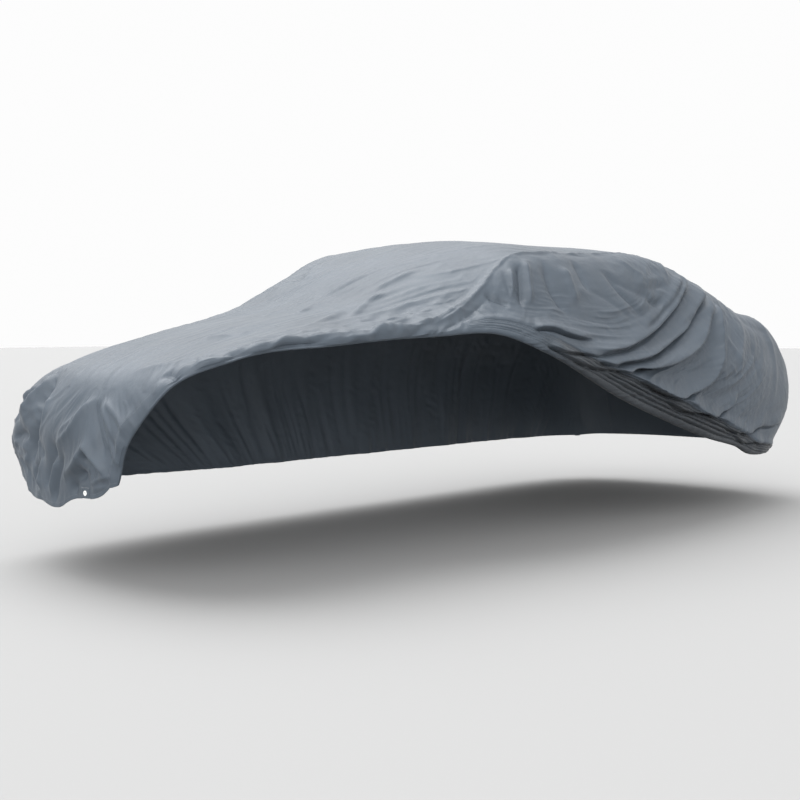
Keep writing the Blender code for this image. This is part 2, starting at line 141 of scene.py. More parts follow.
# A crease is a sharp ridge, or a valley where its height is negative: width, height, path
CREASES = [
    # the lifted side, where it is drawn across
    (2.2, -1.4, 405, -111, 389, -127, 376, -136, 354, -140, 329, -136),
    (1.4, -1, 405, -96, 384, -105, 360, -114, 335, -120, 310, -123.5),
    (1.4, -1.2, 428, -86, 400, -101, 380, -113, 355, -123, 330, -128),
    (1.8, -1, 440, -95, 430, -115, 420, -134, 405, -146, 380, -152),
    (3, -0.6, 462, -77, 487, -83, 531, -87),
    (3.4, 1.4, 474, -78, 458, -98, 446, -118, 450, -140),
    (2.4, 1, 440, -98, 430, -112, 424, -127, 430, -142),
    (2, -3, 265, -72, 256, -83, 244, -92),
    (1.6, 1.6, 258, -72, 249, -79, 241, -84),
    (1.6, 2.2, 272, -69, 262, -83, 254, -94),
    (2.2, -2.8, 283, -69, 276, -91, 280, -106),
    (1.8, 2, 292, -74, 289, -86, 286, -100),
    (1.8, -2, 303, -68, 300, -80, 298, -92),
    (1.8, -1.8, 316, -74, 322, -89, 329, -97, 339, -107),
    (1.6, 1, 340, -85, 357, -89, 378, -93),
    (1.6, -1.8, 344, -95, 354, -98, 366, -96),
    (2, 1.4, 425, -96, 416, -118, 405, -141, 392, -151, 369, -152),
    (1.4, 1, 430, -122, 440, -130, 425, -139),
    (1.8, 1.4, 429, -81, 424, -96, 414, -115),
    (2, 0.9, 431, -102, 442, -113, 449, -124),
    (3, -0.8, 468, -98, 472, -111, 478, -129),
    (2, -1.2, 468, -160, 511, -155, 562, -127),
    (1.8, -1, 317, -77, 325, -85, 342, -92, 353, -94),
    (1.6, -1.2, 345, -88, 361, -89, 379, -85),
    (2, 0.8, 343, -84, 361, -84, 375, -81),
    (1.6, -0.7, 296, -88, 308, -93, 320, -102, 331, -108),
    (1.6, 0.6, 343, -67, 347, -76, 357, -84),
    (1.4, -0.8, 322, -98, 333, -104, 346, -100),
    (1.8, 0.6, 272, -105, 288, -94, 303, -84),
    (1.6, 0.6, 389, -65, 385, -74, 369, -87),
    (1.6, -2.2, 224, -72, 230, -79, 238, -85),
    (1.2, -1.2, 182, -79, 193, -78, 209, -77, 226, -75),
    (1.2, 0.5, 209, -72, 210, -83, 217, -91),
    (1, -0.4, 220, -72, 220, -82, 222, -88),
    (1.4, 0.6, 191, -74, 200, -84, 213, -92),
    (1.2, -0.5, 250, -69, 246, -78, 240, -83),
    # the ruffled edge of the deck
    (1.8, -2.2, 56.6, -42.2, 54.5, -47, 53.2, -56),
    (1.6, 2, 61, -57, 66.3, -60.1, 71.5, -63.7, 76.7, -66.5),
    (1.4, -1.8, 66.1, -51.5, 70, -52.2, 71.5, -59.4, 78, -69),
    (1.6, 1.8, 79.7, -67.1, 88.8, -70.7, 94.8, -69.3, 108, -63),
    (1.4, -1.8, 91.8, -71.4, 104, -72, 119, -72),
    # over the eyelet the front sags in an inverted V
    (2.2, 3.6, 7, 21.8, 10.2, 13.1, 13.1, 4.4, 19.4, -3.4, 21, -6.2, 17.2, -10, 13.5, -14.5, 8.1, -18, 1,
     -21.5),
    (2.2, -2.2, 15, -3.5, 16.5, -6, 13.5, -9.5, 9, -13),
    (2.4, -3.2, 13.3, -4, 9.2, 0.4, 5.2, 5.8, 1.2, 11),
    (1.4, 1.6, 5.2, -3, 6.8, -8, 7.9, -14.2, 5.3, -21.3),
    (1, 0.9, 2.1, -1.6, 4, -9.4, 1.8, -18.1),
    # the front, in a fan from its upper edge
    (1.8, 2, 43, -7.7, 37.6, -2.7, 30.3, 2.7, 24, 11.1, 19.7, 22.2),
    (1.2, 1, 42.8, -4.2, 34.7, 1.3, 29, 10, 22.4, 19),
    (1.6, -1.4, 41.2, -8.2, 36.3, -9, 29.8, -12.1, 22.4, -15, 15.1, -17.5),
    (1.6, 1.7, 41.4, -9.5, 36.5, -15, 30.8, -20.5, 23.7, -24.8),
    (1.4, 1.4, 41.5, -11.5, 38, -19.2, 34.3, -26.7, 30.2, -31),
    (1.2, -1.2, 41.8, -8.4, 35.9, -12, 29.8, -16, 22.3, -19.5),
    (1.8, 1.6, 41.4, -32.6, 36.4, -31.9, 31.5, -29.3, 25, -27.1, 17.1, -25.2, 7.9, -23.6),
    (2.2, -3, 23.2, 18.1, 17.7, 23.1, 11.4, 29.5, 5, 35.2),
    (1.8, -2.4, 20.1, 9.9, 15.3, 15.4, 10.5, 21, 5.1, 25, 0.2, 26.8),
    (2.2, -2.6, 22.4, 30.5, 16.3, 37.2, 9.2, 44.3, 2.7, 48.7),
    (2, 2.2, 18, 20, 11.8, 25, 3.2, 30.5),
    (1.8, 2, 18.5, 36.5, 10.8, 40, 3.4, 41.5),
    # the far front corner
    (2.6, 3.4, 53.8, 48.8, 45.5, 48.1, 40, 51.5, 35.2, 57.1, 29.9, 64.1),
    (3.6, -5.6, 56, 50, 43.5, 41.7, 36.5, 39, 30.1, 39.2, 23.8, 42.9, 17.1, 49.7, 6, 60),
    (2.2, 2.6, 48, 40, 39.9, 34.6, 34, 33.3, 26.8, 36, 20, 42.4, 12, 50),
    (1.8, 1.5, 47.1, 58.3, 46.1, 66.4, 42, 68.6),
    (1.8, -1.8, 44.8, 62.4, 38, 63.5, 34.9, 70.4),
    (1.8, 1.8, 19.4, 59.8, 15.7, 53.7, 9.4, 60.5),
    (1.8, -2.1, 22.5, 70.1, 23.7, 58.8, 21.2, 52.1),
    (1.4, 1.2, 50.7, 46.4, 48, 51.7, 46, 56.7),
    # drawn lines over the deck and the screen
    (2.2, 1.4, 54.5, -17.1, 60.3, -32.7, 66.4, -46.4, 73.2, -55.1),
    (2, 1.4, 87.8, -11.4, 101, -18, 115, -24, 132, -28),
    (1.6, -1.6, 104, -68, 120, -64, 142, -56),
    (1.4, 1.4, 157, -6, 172, -4, 182, -9),
    (1.4, 1.4, 183, 0, 197, -3, 208, -8),
    (1.4, 1.5, 155, -40, 180, -32, 195, -34),
    (1.2, 1.1, 202, -7, 211, -8, 218, -11),
    (1.2, 1.1, 192, -25, 206, -30, 221, -34),
    (1.2, 1.2, 155, 13, 164, 12, 172, 8),
    (1.4, -1.5, 150, -47, 167, -55, 180, -65),
    (1.4, 1.4, 124, -45, 157, -31, 170, -32),
    (2.2, 0.5, 130, -58, 175, -45, 198, -57),
    (1.6, 1.2, 129, -74, 160, -69, 186, -71),
    # both pillars
    (1.4, 1.2, 172, -73, 196, -73, 223, -70, 245, -68),
    (1, 0.6, 160, -62, 190, -61.5, 218, -60),
    (1.6, 0.9, 184, 44, 195, 37, 204, 28),
    (2.4, -1.4, 180, 62, 193, 60, 206, 56),
    (2.4, 0.8, 190, 50, 208, 53, 233, 61),
    (1.8, 0.6, 201, 32, 221, 37, 252, 51),
    (3, -2.2, 202, 40, 214, 47, 230, 54, 252, 57),
    (2.4, 1.3, 206, 34, 220, 41, 242, 50),
]

STRIP_THICK = 0.0026
STRIP_HOLE = 0.0140
STRIP_GAP = 0.0005              # between the strip and the cloth round it
# rows of the strip's face from its hole outwards: reach from the hole, height off the middle
STRIP_FACE = [(0.0, 0.0009), (0.03, 0.0013), (0.5, 0.0013), (0.97, 0.0013), (1.0, 0.0007)]
STRIP_ROWS = STRIP_FACE + [(reach, -lift) for reach, lift in reversed(STRIP_FACE)]
STRIP_SIDES = 64
RING_SIDES = 56
RING_PROFILE_BACK = 0.0024      # from the ring's middle to its hindmost point
# depth and radius of the ring's outline in tenths of a millimetre
RING_PROFILE = [
    (-24, 53), (-29, 56), (-30, 62), (-30, 98), (-29, 105), (-25, 109), (-20, 110), (-17, 109), (-16, 106),
    (-16, 67), (16, 67), (16, 97), (18, 100), (21, 100), (24, 96), (24, 58), (22, 53),
]
SEAM_ROW = 0.0045               # a row of stitches on either side of a seam
HEM_ROW = 0.017                 # the row of stitches of a hem
STITCH_LIFT = 0.3               # share of its height by which a stitch stands off the cloth
STRIP_STITCH = 0.7              # size of the stitches of the strip, as a share of the others
CLOTH_TINT = (0.058, 0.0725, 0.090)
# painted shade: the darker tint that the gathered edge of the lifted side takes where it lies in shadow
BUNDLE_SHADE_TINT = (0.031, 0.036, 0.042)
THREAD_TINT = (0.16, 0.175, 0.20)
RING_TINT = (0.78, 0.78, 0.76)
FLOOR = 60.0                    # half its side
FLOOR_TINT = (0.28, 0.28, 0.28)
SKY_BASE = 0.98
SKY_LOBES = [
    # towards             from  to   strength
    ((0.08, 0.42, 0.905), 0.76, 1.0, 5.9),
    ((-0.84, -0.51, 0.18), 0.50, 1.0, 3.4),
]
CAMERA_AT = (-5.47, -4.505, -0.4574)
CAMERA_ANGLES = (42.44, 3.15)   # yaw and downward pitch in degrees
CAMERA_LENS = 58.36


def between(start, end, lead, arrive, t):
    """A smooth step from start to end that leaves and arrives in the directions lead and arrive."""
    return ((2 * t**3 - 3 * t**2 + 1) * start + (t**3 - 2 * t**2 + t) * lead
            + (3 * t**2 - 2 * t**3) * end + (t**3 - t**2) * arrive)


def smooth_curve(points, where, at):
    """A smooth curve through points that stand at the distances where, read at the distances at."""
    points = np.asarray(points, float)
    slope = np.gradient(points, where, axis=0)
    i = np.clip(np.searchsorted(where, at, side="right") - 1, 0, len(where) - 2)
    shape = (-1,) + (1,) * (points.ndim - 1)
    step = (where[i + 1] - where[i]).reshape(shape)
    t = (at - where[i]).reshape(shape) / step
    return between(points[i], points[i + 1], step * slope[i], step * slope[i + 1], t)


def distances_along(net):
    """How far each point of a net lies from the start of its rib, measured along the rib."""
    steps = np.linalg.norm(np.diff(net, axis=1), axis=2)
    return np.concatenate([np.zeros((len(net), 1)), np.cumsum(steps, axis=1)], axis=1)


def read_at(place, run, values):
    """For each rib, its values at the distance place, where they are known at the distances run."""
    return np.array([[np.interp(p, r, v[:, c]) for c in range(3)] for p, r, v in zip(place, run, values)])


def unit(v):
    return v / np.maximum(np.linalg.norm(v, axis=-1, keepdims=True), 1e-9)


def soft_step(t):
    t = np.clip(t, 0.0, 1.0)
    return t * t * (3 - 2 * t)


def rise(value, start, width):
    """0 up to start, 1 from start + width on, and a soft step between them."""
    return soft_step((value - start) / width)


def fall(value, end, width):
    """1 up to end - width, 0 from end on, and a soft step between them."""
    return soft_step((end - value) / width)


def rib_distances():
    """Where the table's rows stand along the centre line, and where the ribs do."""
    where = distances_along(np.array([[row[2] for row in RIBS]]))[0] * CM
    at = [NOTCH_HEIGHT * n / NOTCH_RIBS for n in range(NOTCH_RIBS + 1)]
    for k, row in enumerate(RIBS[:-1]):
        start = max(where[k], NOTCH_HEIGHT)
        at.extend(start + (where[k + 1] - start) * n / row[1] for n in range(1, row[1] + 1))
    return where, np.array(at)


def down_curve(nodes, lead, columns):
    """Lines between the nodes of each rib, as a smooth curve that sets out in the direction lead."""
    directions = [lead]
    for k in range(1, len(nodes) - 1):
        directions.append(unit(unit(nodes[k] - nodes[k - 1]) + unit(nodes[k + 1] - nodes[k])))
    directions.append(unit(nodes[-1] - nodes[-2]))
    out = []
    for k, count in enumerate(columns):
        reach = np.linalg.norm(nodes[k + 1] - nodes[k], axis=1, keepdims=True)
        out += [between(nodes[k], nodes[k + 1], reach * directions[k], reach * directions[k + 1], n / count)
                for n in range(1, count + 1)]
    return out


def net_normals(net):
    """Outward normal at each point of a net (ribs by columns)."""
    return unit(np.cross(np.gradient(net, axis=0), np.gradient(net, axis=1)))


def shares(first_columns, first_share, columns):
    """Shares of the half width at which the top panel's lines lie."""
    rest = columns - first_columns
    return ([first_share * n / first_columns for n in range(1, first_columns + 1)]
            + [first_share + (1 - first_share) * n / rest for n in range(1, rest + 1)])


def turned_under(shown, under, turn):
    """The lines of the cloth that is turned under at the lifted edge, from the edge on."""
    normal = net_normals(shown[:, ::-1])[:, ::-1]
    run = distances_along(shown)
    edge = shown[:, -1]
    out = normal[:, -1] * turn / 2
    onward = unit(edge - shown[:, -2]) * turn / 2
    lines = []
    for n in range(1, TURN_COLUMNS + 1):
        angle = math.pi * n / TURN_COLUMNS
        lines.append(edge + onward * math.sin(angle) - out * (1 - math.cos(angle)))
    for n in range(1, UNDER_COLUMNS + 1):
        back = run[:, -1] - under[:, 0] * n / UNDER_COLUMNS
        lines.append(read_at(back, run, shown) - unit(read_at(back, run, normal)) * turn)
    return lines


def plain_net():
    """The net before its folds, the ribs' distances, and the columns where the panels meet."""
    where, at = rib_distances()
    centre, far, near = (smooth_curve([row[k] for row in RIBS], where, at) * CM for k in (2, 3, 4))
    crown = np.insert(centre, 1, 0.0, axis=1)
    far = np.split(far, 3, axis=1)
    *near, under, turn = np.split(near, (3, 6, 9, 12, 13), axis=1)

    def top(seam, share):
        point = crown + (seam - crown) * share**TOP_ARCH
        point[:, 1] = seam[:, 1] * share
        return point

    def side(nodes, columns):
        return down_curve(nodes, unit(top(nodes[0], 1.0) - top(nodes[0], 0.97)), columns)

    far_top = [top(far[0], s) for s in shares(NOTCH_COLUMNS[1], NOTCH_SHARES[1], TOP_COLUMNS_FAR)]
    near_top = [top(near[0], s) for s in shares(NOTCH_COLUMNS[0], NOTCH_SHARES[0], TOP_COLUMNS_NEAR)]
    far_side = side(far, (FAR_COLUMNS // 2, FAR_COLUMNS - FAR_COLUMNS // 2))
    near_side = side(near, (*DRAPE_COLUMNS, PLEAT_COLUMNS))
    hidden = turned_under(np.stack([crown] + near_top + near_side, axis=1), under, turn)
    net = np.stack(hidden[::-1] + near_side[::-1] + near_top[::-1] + [crown] + far_top + far_side, axis=1)
    marks = np.cumsum([len(hidden) + len(near_side), len(near_top), len(far_top), len(far_side)])
    off = net[..., 1] - SAG_AT
    sag = SAG_DEPTH * np.exp(-(off / np.where(off < 0, SAG_NEAR, SAG_FAR)) ** 2)
    net[..., 2] -= sag * fall(at, SAG_REACH, SAG_REACH)[:, None]
    return net - REST, at, marks


def cloth_distances(net, crown):
    """How far each point lies from the centre line, measured along the cloth."""
    run = distances_along(net)
    return run - run[:, crown:crown + 1]


def near_path(path, reach, along, across):
    """Points of the cloth near a path: which they are, their distance, side and place on the path."""
    line = smooth_curve(path, np.arange(len(path)), np.linspace(0, len(path) - 1, 8 * len(path)))
    (low_a, low_b), (high_a, high_b) = line.min(axis=0) - reach, line.max(axis=0) + reach
    pick = np.nonzero((along > low_a) & (along < high_a) & (across > low_b) & (across < high_b))[0]
    best = np.full(pick.size, 1e9)
    side = np.zeros(pick.size)
    place = np.zeros(pick.size)
    for k, (a, b) in enumerate(line[:-1]):
        da, db = line[k + 1] - line[k]
        off_a = along[pick] - a
        off_b = across[pick] - b
        t = np.clip((off_a * da + off_b * db) / (da * da + db * db), 0.0, 1.0)
        off_a -= t * da
        off_b -= t * db
        gap = np.hypot(off_a, off_b)
        closer = gap < best
        best = np.where(closer, gap, best)
        side = np.where(closer, off_a * db - off_b * da, side)
        place = np.where(closer, (k + t) / (len(line) - 1), place)
    return pick, best, side, place


def swag_relief(along, across):
    """Outward height and downward lean of the swags."""
    height = np.zeros(along.size)
    lean = np.zeros(along.size)
    for width, top, hang, narrow, *places in SWAGS:
        path = np.reshape(places, (-1, 2)) * CM
        width *= CM
        pick, gap, side, place = near_path(path, 3.5 * width, along, across)
        below = side < 0 if path[-1, 0] < path[0, 0] else side > 0
        fade = rise(place, 0.0, 0.12) * fall(place, 1.0, 0.22)
        ridge = np.exp(-(gap / np.where(below, width * narrow, width)) ** 2) * fade
        tuck = np.exp(-((gap / (width * narrow) - 1.7) / 0.8) ** 2) * fade * below
        height[pick] += top * CM * (1.2 * ridge - 1.05 * tuck)
        lean[pick] += hang * CM * ridge
    return height, lean


def crease_relief(along, across):
    """Outward height of the sharp creases."""
    height = np.zeros(along.size)
    for width, top, *places in CREASES:
        path = np.reshape(places, (-1, 2)) * CM
        pick, gap, side, place = near_path(path, 5 * width * CM, along, across)
        fade = rise(place, 0.0, 0.3) * fall(place, 1.0, 0.3)
        height[pick] += top * CM * fade * np.exp(0.4 - np.hypot(gap / (width * CM), 0.4))
    return height


def cloth_noise(u, v, seed):
    """Smooth noise between -1 and 1 over two coordinates, one bump to each unit."""
    table = np.random.default_rng(seed).uniform(-1.0, 1.0, (64, 64))
    iu = np.floor(u).astype(int)
    iv = np.floor(v).astype(int)
    fu = soft_step(u - iu)
    fv = soft_step(v - iv)

    def row(v_index):
        return table[iu % 64, v_index % 64] * (1 - fu) + table[(iu + 1) % 64, v_index % 64] * fu

    return row(iv) * (1 - fv) + row(iv + 1) * fv


def ridges(u, v, seed):
    """Noise with sharp ridges, about 0 on average."""
    return 0.45 - np.sqrt(cloth_noise(u, v, seed) ** 2 + 0.004)


def drawn_ways(along, across):
    """Coordinates of the ways in which the cloth is drawn: distance and angle of the lifted side's arcs,
    angle of the front's fan, and a coordinate across the lines of the top, which turn over the screen."""
    x = along - ARC_CENTRE[0]
    y = ARC_STRETCH * (across - ARC_CENTRE[1])
    bend = along - 1.6
    slant = across - 0.2 * along + 0.35 * (bend + np.sqrt(bend**2 + 0.02))
    spread = np.arctan2(across - FAN_CENTRE[1], FAN_CENTRE[0] - along)
    return np.hypot(x, y), np.arctan2(-y, x), spread, slant


def unevenness(along, across, seam_near, seam_far):
    """Wrinkles of the whole cloth, in zones that are drawn or crumpled in different ways."""
    away, angle, spread, slant = drawn_ways(along, across)
    below = seam_near - across
    # the top is drawn lengthways, less over the upper screen and the roof
    top = rise(along, 0.5, 0.2) * rise(across, -0.9, 0.1) * fall(across, 0.9, 0.1)
    top *= 1 - 0.75 * rise(along, 2.5, 0.5)
    top *= 1 - 0.8 * rise(along, 1.95, 0.35) * fall(across, -0.10, 0.25)
    # the turned-under edge of the deck is ruffled
    edge = rise(along, 0.45, 0.1) * fall(along, 2.10, 0.5) * fall(across, -0.40, 0.12)
    # the lifted side is drawn in arcs round a point behind the roof's front
    lifted = rise(along, 2.2, 0.6) * rise(below, 0.0, 0.12) * (1 - 0.7 * rise(along, 4.7, 0.4))
    lifted *= 0.15 + 0.85 * rise(away, 0.30, 0.6)
    # under the roof's seam it hangs in small folds
    hung = rise(along, 2.15, 0.2) * fall(along, 3.7, 0.5) * rise(below, 0.0, 0.03) * np.exp(-below / 0.13)
    # the front hangs in a fan, crumpled at its far corner
    front = fall(along, 0.50, 0.12) * (0.5 + 0.5 * rise(along, 0.0, 0.10))
    corner = fall(along, 0.75, 0.15) * rise(across, 0.34, 0.10)
    # the lower part of both sides hangs in broad folds, gathered at the hem
    low = rise(across, 0.85, 0.5)
    tail = rise(along, 4.75, 0.4) * rise(below, 0.0, 0.15)
    out = 0.0030 * cloth_noise(along / 0.31 + 3, across / 0.23 + 3, 1)
    out += rise(across, 1.45, 0.25) * 0.006 * cloth_noise(along / 0.045, across / 0.5, 44)
    for zone, height, u, v, seed in (
            (1.0, 0.0012, along / 0.16 + across / 0.35, across / 0.13 - along / 0.5, 2),
            (top, 0.0120, along / 0.85, slant / 0.105, 3),
            (top, 0.0066, along / 0.55 + 2, slant / 0.048, 13),
            (edge, 0.0160, along / 0.10 + across / 0.12, across / 0.09 - along / 0.30, 14),
            (edge, 0.0085, along / 0.050 - across / 0.10, across / 0.050, 16),
            (lifted, 0.0120, away / 0.12, angle / 0.45, 4),
            (lifted, 0.0070, away / 0.06 + angle, angle / 0.28, 5),
            (lifted, 0.0036, along / 0.045 + across / 0.07, across / 0.05 - along / 0.08, 10),
            (hung, 0.0150, along / 0.085 + below / 0.5, across / 0.5, 33),
            (front, 0.0090, spread / 0.17, along / 0.22, 6),
            (front, 0.0050, spread / 0.07 + 4 * along, along / 0.10, 7),
            (corner, 0.0120, along / 0.12 + across / 0.2, across / 0.13 - along / 0.25, 8),
            (corner, 0.0100, along / 0.05 - across / 0.1, across / 0.055, 9),
            (low, 0.022, along / 0.24 + across / 1.6, across / 1.5, 41),
            (low, 0.008, along / 0.09 + across / 1.1, across / 0.7, 43),
            (tail, 0.014, along / 0.17 + across / 1.2, across / 0.9, 42)):
        out += zone * height * ridges(u, v, seed)
    # both seams stand up in a ridge and pucker the cloth beside them
    sewn = rise(along, 0.7, 0.6)
    for seam, seed, size in ((seam_near, 21, sewn * (1 - 0.5 * rise(along, 2.9, 0.5))),
                             (seam_far, 22, 0.4 * sewn)):
        gap = np.abs(across - seam)
        out += size * (0.0032 * np.exp(-gap / 0.026) * cloth_noise(along / 0.019, across / 0.06, seed)
                       + 0.0070 * np.exp(-gap / 0.10) * ridges(along / 0.060, across / 0.30, seed + 10)
                       + 0.0085 * np.exp(-(gap / 0.014) ** 2))
    return out


def drawn_lines(along, across, seam_near, seam_far):
    """The fine drawn wrinkles: coordinates along and over them, and their strength, zone by zone."""
    away, angle, spread, slant = drawn_ways(along, across)
    near = fall(across, seam_near, 0.10)
    far = rise(across, seam_far, 0.10)
    front = fall(along, 0.50, 0.12)
    tail = rise(along, 4.7, 0.3)
    beside = across - seam_near
    pillar = 1.5 * rise(along, 1.3, 0.4) * fall(along, 2.7, 0.3) * np.exp(-(beside / 0.05) ** 2)
    zones = [
        # weight, along the lines, over the lines
        ((1 - near) * (1 - far) * (1 - front), along / 0.50, slant / 0.070),
        (near * (1 - tail) * (1 - front), angle / 0.30, away / 0.055),
        (np.maximum(near * tail, far) * (1 - front), across / 0.60, along / 0.16),
        (front, along / 0.20, spread / 0.10),
        (pillar, along / 0.16, beside / 0.020),
    ]
    weights, lengthways, crossways = (np.stack(column) for column in zip(*zones))
    order = np.sort(weights, axis=0)
    best = weights.argmax(axis=0)
    calm = (1 - near * fall(away, 0.7, 0.4)) * (1 - 0.6 * tail) * (1 - 0.6 * front)
    strength = calm * rise(order[-1] - order[-2], 0.3, 0.4)
    return np.choose(best, lengthways), np.choose(best, crossways), strength


def painted_bundle_shade(along):
    """How much painted shade darkens the cloth: all along the gathered edge of the lifted side, where it lies
    in shadow under the drape.
    """
    drape = TURN_COLUMNS + UNDER_COLUMNS + PLEAT_COLUMNS
    return fall(np.arange(along.shape[1]), drape + 1, 3) * rise(along, 2.4, 0.5)


def dressed_net(fold_height, crumple_height):
    """The net with its folds, pleats and wrinkles, and with its coordinates, marks and even normals."""
    net, at, marks = plain_net()
    hidden = TURN_COLUMNS + UNDER_COLUMNS
    drape = hidden + PLEAT_COLUMNS
    normals = net_normals(net)
    across = cloth_distances(net, marks[1])
    along = np.repeat(at[:, None], net.shape[1], axis=1)
    height, lean = swag_relief(along.ravel(), across.ravel())
    height += crease_relief(along.ravel(), across.ravel())
    height, lean = (values.reshape(along.shape) * fold_height for values in (height, lean))
    height += crumple_height * unevenness(along, across, across[:, [marks[0]]], across[:, [marks[2]]])
    calm = rise(across, across[:, [hidden]], EDGE_CALM)
    calm[:, :hidden] = 0.0
    # the drape's lower edge hangs over the gathered cloth
    grown = rise(across[:, drape] - across[:, hidden], 0.045, 0.10)
    gap = across - across[:, [drape]]
    wave = 1 + 0.5 * cloth_noise(along / 0.35, 0.5, 15)
    lip = grown[:, None] * wave * np.exp(-((gap - 0.022) / 0.020) ** 2)
    tuck = grown[:, None] * np.exp(-((gap + 0.010) / 0.012) ** 2)
    height += 0.018 * lip - 0.016 * tuck
    lean += 0.024 * lip
    for k in range(PLEAT_COLUMNS + 1):
        q = 1 - k / PLEAT_COLUMNS
        slip = 0.10 * cloth_noise(at * 1.7, 0.5 + 2 * q, 11) * math.sin(math.pi * q)
        rope = np.abs(np.sin(PLEATS * math.pi * (q + slip))) ** 0.6
        size = 0.8 + 0.5 * cloth_noise(at * 2.2, 4 * q, 12)
        height[:, hidden + k] += PLEAT_HEIGHT * grown * (rope * size - 0.75)
        calm[:, hidden + k] = np.maximum(calm[:, hidden + k], min(1.0, 0.5 + 3 * k / PLEAT_COLUMNS))
    down = np.zeros_like(net)
    down[:, 1:-1] = unit(net[:, :-2] - net[:, 2:])
    calm *= notch_calm(along, across, marks[1])
    net = net + (normals * height[..., None] + down * lean[..., None]) * calm[..., None]
    # the cloth turned under stays behind the front hem
    inside = np.clip(1 - np.arange(net.shape[1]) / UNDER_COLUMNS, 0.0, 1.0)
    net[..., 2] += UNDER_LIFT * fall(at, 0.15, 0.15)[:, None] * inside
    return net, along, across, marks, normals


def notch_calm(along, across, crown):
    """0 around the notch, where the cloth lies flat against the eyelet strip, 1 elsewhere."""
    left = across[0, crown - NOTCH_COLUMNS[0]]
    right = across[0, crown + NOTCH_COLUMNS[1]]
    beside = np.maximum(0.0, np.maximum(left - across, across - right))
    return rise(np.hypot(beside, np.maximum(0.0, along - NOTCH_HEIGHT)), 0.0, 0.06)


def turn_hem(edge, back, out):
    """Lines that turn an edge under and run back inside. back points from the edge into the cloth."""
    turns = [math.pi * n / 4 for n in range(1, 5)]
    return ([edge - back * HEM_TURN / 2 * math.sin(angle) - out * HEM_TURN / 2 * (1 - math.cos(angle))
             for angle in turns]
            + [edge + back * HEM_DEPTH * n / 3 - out * HEM_TURN for n in range(1, 4)])


def with_hems(net, along, across, normals):
    """Adds the turned-under hems before the first rib, after the last one and after the last column."""
    far = turn_hem(net[:, -1], unit(net[:, -4] - net[:, -1]), normals[:, -1])
    extra = len(far)
    net = np.concatenate([net, np.stack(far, axis=1)], axis=1)
    normals = np.pad(normals, ((0, 0), (0, extra), (0, 0)), mode="edge")
    first = turn_hem(net[0], unit(net[3] - net[0]), normals[0])
    last = turn_hem(net[-1], unit(net[-4] - net[-1]), normals[-1])
    net = np.concatenate([first[::-1], net, last])
    along, across = (np.pad(grid, ((extra, extra), (0, extra)), mode="edge") for grid in (along, across))
    grow = HEM_STEP * np.arange(1, extra + 1)
    along[:extra] -= grow[::-1, None]
    along[-extra:] += grow[:, None]
    across[:, -extra:] += grow
    return net, along, across, extra


def place_object(name, data):
    obj = bpy.data.objects.new(name, data)
    bpy.context.scene.collection.objects.link(obj)
    return obj


def add_mesh(name, points, faces, material, maps=None):
    """A smooth-shaded piece of points and faces, with uv maps by name."""
    mesh = bpy.data.meshes.new(name)
    mesh.from_pydata(points.tolist(), [], faces)
    corner = np.empty(len(mesh.loops), dtype=np.int64)
    mesh.loops.foreach_get("vertex_index", corner)
    for title, uv in (maps or {}).items():
        layer = mesh.uv_layers.new(name=title)
        layer.data.foreach_set("uv", uv[corner].astype(np.float32).ravel())
    mesh.polygons.foreach_set("use_smooth", [True] * len(mesh.polygons))
    mesh.materials.append(material)
    mesh.update()
    return place_object(name, mesh)


def tube_faces(rings, count):
    """The faces between closed rings of count points each, the last ring joined to the first."""
    return [(k * count + n, k * count + (n + 1) % count,
             (k + 1) % rings * count + (n + 1) % count, (k + 1) % rings * count + n)
            for k in range(rings) for n in range(count)]


def add_panel(name, net, grids, first, last, hole, material):
    """One panel of the cloth: the net between two columns, without the squares for which hole is true."""
    part = net[:, first:last + 1]
    index = np.arange(part.shape[0] * part.shape[1]).reshape(part.shape[:2])
    quads = np.stack([index[:-1, :-1], index[1:, :-1], index[1:, 1:], index[:-1, 1:]], axis=-1)
    quads = quads[~hole[:, first:last]]
    used, back = np.unique(quads, return_inverse=True)
    values = [grid[:, first:last + 1].ravel()[used] for grid in grids]
    maps = {"cloth": np.stack(values[:2], axis=1), "drawn": np.stack(values[2:4], axis=1)}
    obj = add_mesh(name, part.reshape(-1, 3)[used], back.reshape(quads.shape).tolist(), material, maps)
    for title, value in zip(("drawn_strength", "painted_bundle_shade"), values[4:]):
        layer = obj.data.attributes.new(title, "FLOAT", "POINT")
        layer.data.foreach_set("value", value.astype(np.float32))
    return obj


def feed(tree, node, inputs):
    """Gives each input of a node its value, or links it from a socket."""
    for key, value in inputs.items():
        if isinstance(value, bpy.types.NodeSocket):
            tree.links.new(value, node.inputs[key])
        else:
            node.inputs[key].default_value = value


def add_node(tree, kind, inputs=None, out=0, **settings):
    """A node with its settings and inputs. Gives back one of its outputs."""
    node = tree.nodes.new(kind)
    for name, value in settings.items():
        setattr(node, name, value)
    feed(tree, node, inputs or {})
    return node.outputs[out]


def new_material(name, tint, roughness):
    material = bpy.data.materials.new(name)
    material.use_nodes = True
    shader = material.node_tree.nodes["Principled BSDF"]
    feed(material.node_tree, shader, {"Base Color": (*tint, 1.0), "Roughness": roughness})
    return material, material.node_tree, shader


def noise(tree, vector, kind, scale, detail):
    return add_node(tree, "ShaderNodeTexNoise", {"Vector": vector, "Scale": scale, "Detail": detail},
                    noise_type=kind)


